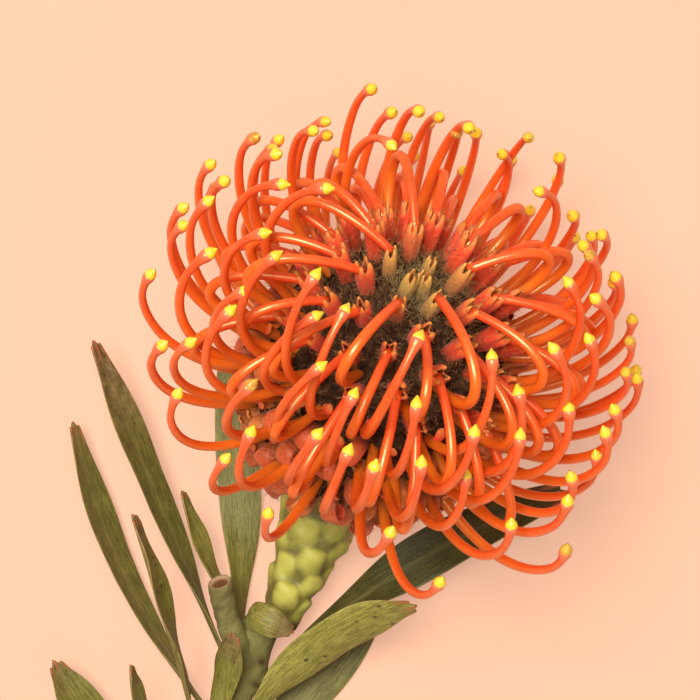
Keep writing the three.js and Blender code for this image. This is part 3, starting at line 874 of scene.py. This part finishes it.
def fineHairs():
    # three-sided tapered tubes on the columns, the rolls and the core
    sets = []
    count, shortest, longest, stand = hairs["column"]
    roots, normals, tube = rootsOn(columnPoints, count, (4, 16))
    tone = np.where(columnYouth[tube] > 0.5, 0.95, rng.uniform(0.3, 0.8, count))
    sets.append((roots, normals, rng.uniform(shortest, longest, count), stand, tone))
    count, shortest, longest, stand = hairs["roll"]
    roots, normals, tube = rootsOn(rollPoints, count, (3, 30))
    length = rng.uniform(shortest, longest, count)
    sets.append((roots, normals, length, stand, rng.uniform(0.3, 0.85, count)))
    count, shortest, longest, stand = hairs["core"]
    row = rng.integers(4, corePoints.shape[0], count)
    side = rng.integers(0, corePoints.shape[1], count)
    pole = 1 - smoothStep(np.arccos(coreOutward[row, side] @ axis), 0.1, 0.3)
    tone = np.where(pole > 0.5, rng.uniform(0.85, 1, count), rng.uniform(0, 0.6, count))
    length = rng.uniform(shortest, longest, count)
    sets.append((corePoints[row, side], coreOutward[row, side], length, stand, tone))
    paths = np.concatenate([hairPaths(r, n, length, stand) for r, n, length, stand, _ in sets])
    tones = np.concatenate([tone for *_, tone in sets])
    sideways = unit(np.cross(paths[:, 1] - paths[:, 0], rng.normal(size=(len(paths), 3))))
    radii = np.array([1, 0.75, 0.12]) * hairs["radius"]
    points = aboveTable(ringsAlong(paths, radii, 3, sideways), 0.05, 0.3)
    skin = hairMaterial()
    ends = np.cumsum([len(roots) for roots, *_ in sets])
    parts = np.split(np.arange(len(paths)), ends[:-1])
    for name, part in zip(("columnHairs", "rollHairs", "coreHairs"), parts):
        headPiece(name, points[part], ringFaces(len(part), 3, 3), skin, tone=tones[part, None, None])


fineHairs()

# ---- the peduncle ----

peduncle = {
    "radii": [9.2, 9, 8.4, 7.4, 6.2, 4.9, 4],
    "bracts": 22,
    "length": 5.46,  # of one bract
    "width": 4.6,
    "stand": 0.95,
    "between": (0.36, 0.9),  # shares of the neck's length where the bracts' tips lie
    "rows": 110,
    "sides": 84,
}


def stemPoint(y):
    # the stem's axis, rising from the cut end
    y = np.asarray(y, float)[..., None]
    slope = stem["radius"] + (y - stem["end"]) * np.tan(rise)
    return np.concatenate([np.full_like(y, stem["aside"]), y, slope], -1)


def turnedAboutRight(vector, angle):
    # a vector of the middle plane turned down by an angle
    y = vector[1] * np.cos(angle) + vector[2] * np.sin(angle)
    z = vector[2] * np.cos(angle) - vector[1] * np.sin(angle)
    return np.stack([np.zeros_like(y), y, z], -1)


def peduncleLine(share):
    # an arc that leaves the head square and runs out onto the stem's axis, then straight on
    start = middle - axis * (25 + stem["gap"])
    outward = np.cross(axis, right)
    turn = np.radians(head["axis"] - stem["rise"])
    bendRadius = (start - stemPoint(start[1])) @ stemUp / (1 - np.cos(turn))
    hub = start - bendRadius * outward
    straight = abs((hub - stemPoint(stem["start"])) @ stemAlong) - stem["gap"]
    travelled = share * (bendRadius * turn + straight)
    turned = np.minimum(travelled / bendRadius, turn)
    beyond = np.maximum(0, travelled - bendRadius * turn)
    points = hub + bendRadius * turnedAboutRight(outward, turned) - stemAlong * beyond[:, None]
    return points, turnedAboutRight(axis, turned)


def peduncleMaterial():
    depth = {"Subsurface_Weight": 0.08, "Subsurface_Scale": 0.002}
    finish = Finish("greenNeck", Roughness=0.5, Specular_IOR_Level=0.4, **depth)
    patches = finish.spread(finish.noise(260, 4), 0.3, 0.7, -0.18, 0.18)
    # painted light and shade: the bracts' raised tops are painted lit yellow green and the grooves between
    # them painted in dark shade
    paintedReliefShade = finish.ramp(
        finish.plus("relief", patches),
        [(0.02, (0.2, 0.17, 0.045)), (0.35, (0.38, 0.36, 0.07)), (0.8, (0.55, 0.53, 0.105))],
    )
    finish.colour(finish.mix("hairy", paintedReliefShade, (0.06, 0.035, 0.02)))
    finish.bump(finish.noise(900, 4), 0.0003, 0.5)
    return finish.material


def peduncleSurface():
    # a tube with a scale for each bract: its height climbs along the scale and drops at the tip,
    # and falls off to its sides
    share = np.linspace(0, 1, peduncle["rows"])
    line, toHead = peduncleLine(share)
    lengthAlong = np.concatenate([[0], np.cumsum(np.linalg.norm(np.diff(line, axis=0), axis=1))])
    turn = np.arange(peduncle["sides"]) / peduncle["sides"] * 2 * np.pi
    radius = np.interp(share, np.linspace(0, 1, len(peduncle["radii"])), peduncle["radii"])
    k = np.arange(-4, peduncle["bracts"])
    at = np.interp(between(peduncle["between"], k / (peduncle["bracts"] - 1)), share, lengthAlong)
    at = np.where(k < 0, at[4] + k * 2.2, at)
    size = 1 - 0.4 * np.interp(at, lengthAlong, share)
    bractTurn = k * goldenAngle
    ahead = (at - lengthAlong[:, None, None]) / (peduncle["length"] * size)
    across = np.sin((turn[:, None] - bractTurn) / 2) * 2 * radius[:, None, None]
    aside = across / (peduncle["width"] * size)
    body = smoothStep(ahead, -1.1, 0.55) * (1 - smoothStep(ahead, 0.6, 1.05))
    scales = body * np.maximum(0, 1 - aside**2 * (0.8 + 0.7 * np.clip(ahead, 0, 1))) ** 0.7
    relief = scales.max(-1)
    upSide = unit(np.cross(right, toHead))
    outward = np.cos(turn)[None, :, None] * right + np.sin(turn)[None, :, None] * upSide[:, None]
    bare = line[:, None] + outward * radius[:, None, None]
    stand = peduncle["stand"] * relief + 0.45 * ripple(bare, 7, 11) + 0.28 * ripple(bare, 4, 12)
    points = bare + outward * (stand - 0.25)[..., None]
    inner = line[:1, None] + axis * 2.5 + (points[:1] - line[:1, None]) * 0.9
    outerEnd = line[-1:, None] - stemAlong * 0.9 + (points[-1:] - line[-1:, None]) * 0.86
    points = np.concatenate([inner, points, outerEnd])
    relief = np.concatenate([relief[:1], relief, relief[-1:]])
    hairy = 1 - smoothStep(np.concatenate([[0], share, [1]]), 0.02, 0.16)
    makePiece(
        "neck", aboveTable(points[None, :, ::-1], 0.3, 1.5), ringFaces(1, len(points), peduncle["sides"]),
        peduncleMaterial(), "peduncle", ["peduncle"],
        # the scales' height, which the finish also turns into painted light on their tops and painted shade
        # between them
        relief=relief[None, :, ::-1],
        hairy=hairy[None, :, None],
    )


peduncleSurface()

# ---- the stem ----

bark = {"sides": 72, "rows": 130, "cushion": 1.3, "scars": 9, "scarDepth": 0.35}
stub = {"root": (-2.5, -66, 6.5), "tip": (-14, -51.5, 16), "middle": 0.55, "radii": (3.1, 2.5, 2.65)}

# place up the stem, distance off it, way round it, size, angle from the stem and turn of the
# blade from foot to tip, then form and colour, where light is the painted light and shade of the
# whole blade, from its shaded dark green to its lit green
leafColumns = ["at", "off", "side", "length", "width", "angle", "turn"]
leafColumns += ["hollow", "wave", "light", "spots", "dry"]
leafRows = [
    (-78, 0.5, (180, 182), 65, 9, (60, 34), (0, -30), 0.22, 0.3, 0.45, 0.2, 0.2),
    (-66, 0.8, (174, 174), 70, 9, (46, 43), (0, -40), 0.2, 0.4, 0.4, 0.3, 0.8),
    (-83, 0.5, (150, 152), 50, 8.5, (38, 42), (0, -34), 0.25, 0.5, 0.75, 1.0, 0.6),
    (-61, 0.6, (205, 190), 58, 9.5, (20, 32), (0, -75), 0.15, 0.3, 0.6, 0.2, 0.1),
    (-66, 0.6, (4, 10), 72, 11, (24, 47), (0, 66), 0.16, 0.4, 0.15, 0.3, 0.2),
    (-79, 0.5, (36, 32), 48, 10.5, (14, 54), (0, -35), 0.2, 0.5, 0.95, 0.9, 0.25),
    (-54.5, 0.6, (122, -50), 15.5, 6.5, (84, 96), (-90, -90), 0.2, 0.1, 0.85, 0.5, 0.9),
    (-80, 0.5, (110, 98), 25, 6.5, (26, 40), (0, -10), 0.3, 0.3, 0.75, 0.9, 0.8),
    (-98, 0.6, (176, 168), 36, 10, (76, 48), (0, -60), 0.2, 0.4, 0.6, 0.3, 0.5),
    (-92, 0.5, (150, 150), 27, 7, (66, 30), (0, -40), 0.2, 0.3, 0.75, 0.5, 0.6),
    (-90, 0.8, (-26, -12), 50, 10, (30, 8), (0, 80), 0.14, 0.3, 0.45, 0.3, 0.2),
    (-97, 0.5, (10, 8), 30, 9, (30, 60), (0, 50), 0.2, 0.4, 0.5, 0.5, 0.3),
    (-58, 1.2, (171, 164), 29, 5.5, (52, 38), (0, -40), 0.25, 0.3, 0.8, 0.3, 0.4),
]
leaves = [dict(zip(leafColumns, row)) for row in leafRows]


def barkMaterial():
    finish = Finish("greenBark", Roughness=0.7, Specular_IOR_Level=0.3)
    grain = finish.noise(420, 5, stretch=(1, 0.22, 1))
    browns = [(0.3, (0.11, 0.075, 0.035)), (0.5, (0.2, 0.15, 0.06)), (0.72, (0.3, 0.27, 0.11))]
    green = finish.mix("green", finish.ramp(grain, browns), (0.25, 0.26, 0.07))
    scarred = finish.mix("scar", green, (0.1, 0.05, 0.022))
    wood = finish.ramp(
        "cut",
        [
            (0.0, (0.13, 0.055, 0.018)),
            (0.55, (0.16, 0.07, 0.025)),
            (0.72, (0.38, 0.24, 0.13)),
            (0.88, (0.42, 0.29, 0.17)),
            (0.97, (0.22, 0.16, 0.07)),
        ],
    )
    finish.colour(finish.mix("isCut", scarred, wood))
    finish.bump(finish.plus(grain, finish.noise(1500, 3)), 0.0004, 0.6)
    return finish.material


def stemSurface():
    # a straight round stem with a swelling under each leaf's foot and small scars between them
    y = np.linspace(stem["end"], stem["start"] + 1.5, bark["rows"])
    turn = np.arange(bark["sides"]) / bark["sides"] * 2 * np.pi
    outward = np.cos(turn)[:, None] * right + np.sin(turn)[:, None] * stemUp
    at = np.array([leaf["at"] for leaf in leaves])
    side = np.radians([leaf["side"][0] for leaf in leaves])
    along = (y[:, None, None] - at + 1.5) / 4.2
    round = np.sin((turn[:, None] - side) / 2) * 2 * stem["radius"] / 2.9
    cushions = (np.exp(-(along**2) * 1.6 - round**2)).max(-1)
    places = np.random.default_rng(7)
    scarY = places.uniform(-100, -60, bark["scars"])
    scarTurn = places.uniform(-0.5, 3.6, bark["scars"])
    scarRound = np.sin((turn[:, None] - scarTurn) / 2) * 2 * stem["radius"] / 1.3
    spots = np.exp(-(((y[:, None, None] - scarY) / 0.9) ** 2) - scarRound**2).max(-1)
    line = stemPoint(y)
    bare = line[:, None] + outward * stem["radius"]
    rough = 0.16 * ripple(bare, 7, 21) + 0.06 * ripple(bare, 2, 22)
    stand = bark["cushion"] * cushions - bark["scarDepth"] * spots + rough
    taper = smoothStep(y, stem["end"], stem["end"] + 3)[:, None]
    points = line[:, None] + outward * (stem["radius"] - 0.1 + stand * taper)[..., None]
    up = (points - line[:, None]) @ stemUp
    slope = np.tan(np.radians(stem["slant"])) * (1 - smoothStep(y, stem["end"], stem["squareTo"]))
    points = points + stemAlong * ((stem["radius"] + up) * slope[:, None])[..., None]
    rings = np.array([0.08, 0.3, 0.55, 0.8, 0.95])
    centre = points[:1].mean(1, keepdims=True)
    face = centre + (points[:1] - centre) * rings[:, None, None]
    points = np.concatenate([face, points])
    none = np.zeros((len(rings), bark["sides"]))
    return (
        points,
        np.concatenate([none, np.maximum(spots, 0.6 * np.exp(-(((cushions - 0.55) / 0.12) ** 2)))]),
        np.concatenate([none + rings[:, None], np.ones_like(spots)]),
        np.concatenate([none + 1, np.zeros_like(spots)]),
        np.concatenate([none, np.clip(smoothStep(y, -95, -60)[:, None] * 0.6 + cushions * 0.7, 0, 1)]),
    )


def stubSurface():
    # the stump of a side shoot: a short curved tube with a raised rim round its sunken cut face
    root, tip = (np.array(stub[end], float) for end in ("root", "tip"))
    t = np.linspace(0, 1, 26)
    bend = np.sin(t * np.pi)[:, None] * np.array([-1.4, 0.4, -0.8])
    line = root + (tip - root) * t[:, None] + bend
    foot, waist, rim = stub["radii"]
    radii = np.interp(t, [0, stub["middle"], 0.9, 1], [foot, waist, rim - 0.1, rim])
    direction = unit(tip - root)
    inner = np.array([0.93, 0.82, 0.6, 0.35, 0.08])
    line = np.concatenate([line, tip + direction * np.array([0.45, 0.1, -0.25, -0.35, -0.4])[:, None]])
    radii = np.concatenate([radii, radii[-1] * inner])
    sides = 48
    along = np.tile(direction, (len(line), 1))
    across = unit(np.array([0, 0, 1.0]) - along * along[:, 2:3])
    out = np.cross(along, across)
    turn = np.arange(sides) / sides * 2 * np.pi
    ring = across[:, None] * np.sin(turn)[:, None] - out[:, None] * np.cos(turn)[:, None]
    points = line[:, None] + ring * radii[:, None, None]
    points = points + ring * (0.15 * ripple(points, 3, 31))[..., None]
    cut = np.concatenate([np.ones(26), inner])[:, None] * np.ones(sides)
    isCut = np.concatenate([np.zeros(26), np.ones(5)])[:, None] * np.ones(sides)
    green = np.interp(t, [0, 1], [0.5, 0.2])
    green = np.concatenate([green, np.zeros(5)])[:, None] * np.ones(sides)
    return points, np.zeros_like(cut), cut, isCut, green


def woodyStem():
    # the stem and the stump as one mesh
    trunk, shoot = stemSurface(), stubSurface()
    points = np.concatenate([trunk[0][:, ::-1].reshape(-1, 3), shoot[0].reshape(-1, 3)])
    faces = ringFaces(1, *trunk[0].shape[:2])
    faces += [[v + trunk[1].size for v in face] for face in ringFaces(1, *shoot[0].shape[:2])]
    shades = [np.concatenate([t[:, ::-1].ravel(), s.ravel()]) for t, s in zip(trunk[1:], shoot[1:])]
    makePiece(
        "woodyStem", aboveTable(points, 0.0, 0.2), faces, barkMaterial(), "bark", ["stem"],
        scar=shades[0], cut=shades[1], isCut=shades[2], green=shades[3],
    )


woodyStem()

# ---- the leaves ----

blade = {
    "thickness": 0.85,
    "steps": 32,
    "baseShare": 0.36,
    "widest": 0.62,
    "tipShare": 0.5,
    "teeth": (0.16, 0.05, 0.26),  # how far the tip's middle stands out, its teeth, its fall to the edges
    "waves": 14,
    "rows": 80,
    "half": 18,  # points across each face
    "foot": 5,  # millimetres from the blade down to the stem
    "rib": 0.22,
}


def bladeLine(leaf, share):
    # the leaf's own line, bent away from the stem step by step, read at shares of its length
    steps = blade["steps"]
    knots = np.arange(steps + 1) / steps
    side = np.radians(between(leaf["side"], knots))[:, None]
    out = np.cos(side) * right + np.sin(side) * stemUp
    angle = np.radians(between(leaf["angle"], knots))[:, None]
    ahead = stemAlong * np.cos(angle) + out * np.sin(angle)
    face = stemAlong * np.sin(angle) - out * np.cos(angle)
    turn = np.radians(between(leaf["turn"], np.minimum(1, knots * 2)))[:, None]
    face = face * np.cos(turn) + np.cross(ahead, face) * np.sin(turn)
    reach = stem["radius"] + stem["gap"] + 0.45 + leaf["off"]
    start = stemPoint(leaf["at"]) + out[0] * reach
    place = start + np.concatenate([np.zeros((1, 3)), np.cumsum(ahead[:-1], 0)]) * leaf["length"] / steps
    inside = np.clip(share, 0, 1) * steps
    smooth = alongLines(np.stack([place, ahead, face]), inside)
    place, ahead, face = smooth[0], unit(smooth[1]), unit(smooth[2])
    place = place + ahead * (np.minimum(share, 0) * leaf["length"])[:, None]
    return place, ahead, face


def bladeHalfWidth(leaf, share):
    # a quarter sine from the foot to the widest place, then a parabola to the tip
    base, widest, tip = blade["baseShare"], blade["widest"], blade["tipShare"]
    rising = base + (1 - base) * np.sin(np.clip(share / widest, 0, 1) * np.pi / 2) ** 1.3
    falling = 1 - (1 - tip) * (np.maximum(0, share - widest) / (1 - widest)) ** 2
    return leaf["width"] / 2 * np.where(share < widest, rising, falling)


def leafMaterial():
    # yellow olive, darkened or lightened as painted light and shade by each leaf's light share, with fine
    # streaks along it, pale edges partly made paler as painted light, dark spots, a dry end and red callus
    # teeth
    finish = Finish("leafSkin", Roughness=0.5, Specular_IOR_Level=0.4)
    # painted light and shade: each blade runs from a shaded near-black green to a lit green by its light
    # share, and so do the brighter patches
    green = finish.mix("light", (0.04, 0.038, 0.007), (0.34, 0.31, 0.055))
    patches = finish.spread(finish.noise(130, 3), 0.35, 0.7, 0, 0.5)
    brighter = finish.mix("light", (0.1, 0.09, 0.018), (0.48, 0.44, 0.09))
    green = finish.mix(patches, green, brighter)
    streaks = finish.noise(1, 3, stretch=(0.28, 2.4, 1), along="skin")
    fine = finish.noise(1, 2, stretch=(1.6, 5, 1), along="skin")
    grain = finish.plus(streaks, finish.times(fine, 0.6))
    green = finish.mix(finish.spread(grain, 0.62, 1.0, 0.55, 0), green, (0.06, 0.055, 0.018), "MULTIPLY")
    rib = finish.times("rib", 0.3)
    green = finish.mix(rib, green, (0.36, 0.34, 0.12))
    specks = finish.spread(finish.cells(0.42, stretch=(0.8, 1, 1), along="skin"), 0.1, 0.24, 1, 0)
    where = finish.spread(finish.noise(110, 2), 0.42, 0.6)
    spots = finish.times(finish.times(specks, where), "spots")
    spotted = finish.mix(spots, green, (0.05, 0.035, 0.015))
    drying = finish.spread(finish.noise(300, 4), 0.3, 0.6, 0.4, 1)
    drying = finish.times("dry", drying)
    bands = [(0.35, (0.08, 0.035, 0.015)), (0.7, (0.4, 0.27, 0.14))]
    dried = finish.mix(drying, spotted, finish.ramp(finish.noise(500, 3), bands))
    # pale edges: the margins' own pale colour, and painted light that makes the edges lighter than the
    # blade's middle
    edged = finish.mix(finish.times("edge", 0.6), dried, (0.56, 0.42, 0.14))
    finish.colour(finish.mix("gland", edged, (0.5, 0.13, 0.04)))
    finish.bump(grain, 0.00022, 0.6)
    return finish.material


leafSkin = leafMaterial()


def leafBlade(leaf, number):
    # a thin closed blade: hollowed and waved across, with blunt teeth at the tip
    shares = np.concatenate([[-blade["foot"] / leaf["length"]], np.linspace(0, 1, blade["rows"]) ** 0.85])
    place, ahead, face = bladeLine(leaf, shares)
    side = np.cross(ahead, face)
    sides = 2 * blade["half"]
    turn = np.arange(sides) / sides * 2 * np.pi
    across = np.cos(turn)
    over = np.sign(np.round(np.sin(turn), 9)) * np.sqrt(np.maximum(0, 1 - across**6))
    share = np.clip(shares, 0, 1)[:, None]
    half = bladeHalfWidth(leaf, share)
    wave = leaf["wave"] * np.sin(share * blade["waves"] + leaf["at"]) * across**3
    out, tooth, fall = blade["teeth"]
    reach = leaf["width"] * (out + tooth * np.cos(3 * np.pi * across) - fall * across**2)
    points = (
        place[:, None]
        + side[:, None] * (across * half)[..., None]
        + face[:, None] * (leaf["hollow"] * half * across**2 + wave)[..., None]
        + ahead[:, None] * (reach * share**8)[..., None]
    )
    points[..., 2] = lifted(0.54, 1.5, points[..., 2])
    rib = np.exp(-((across * half / 0.55) ** 2))
    thickness = blade["thickness"] * (1 - 0.35 * share) * (1 - 0.3 * across**2)
    thickness = thickness + blade["rib"] * rib * (1 - share)
    thickness[0] = thickness[0] * 1.6
    edges = np.gradient(points, axis=0)
    widths = unit(side)[:, None] + face[:, None] * (2 * leaf["hollow"] * across)[None, :, None]
    normal = unit(np.cross(widths, unit(edges)))
    points = points + normal * (over * thickness / 2)[..., None]
    skin = np.stack(np.broadcast_arrays(shares[:, None] * leaf["length"], across * half, 7.0 * number), -1)
    fade = smoothStep(share, 0.55, 1.0)
    teeth = np.cos(3 * np.pi * across) - 0.35 * (np.abs(across) > 0.85)
    tips = smoothStep(share, 0.93, 0.985) * smoothStep(teeth, 0.1, 0.8)
    makePiece(
        f"leaf{number:02d}", points[None], stripFaces(1, len(shares), sides), leafSkin, "leaf",
        [f"leaf_{number:02d}"],
        skin=skin[None],
        # the blade's painted light and shade, from shaded dark to lit
        light=leaf["light"],
        spots=leaf["spots"],
        dry=(leaf["dry"] * smoothStep(share, 1 - 0.45 * leaf["dry"], 1.0) + 0 * across)[None],
        rib=(rib * (1 - 0.6 * share))[None],
        # pale margins, partly painted light along the blade's edges
        edge=(smoothStep(np.abs(across), 0.93, 1.0) * (0.4 + 0.6 * fade))[None],
        gland=tips[None],
    )


for number, leaf in enumerate(leaves, 1):
    leafBlade(leaf, number)
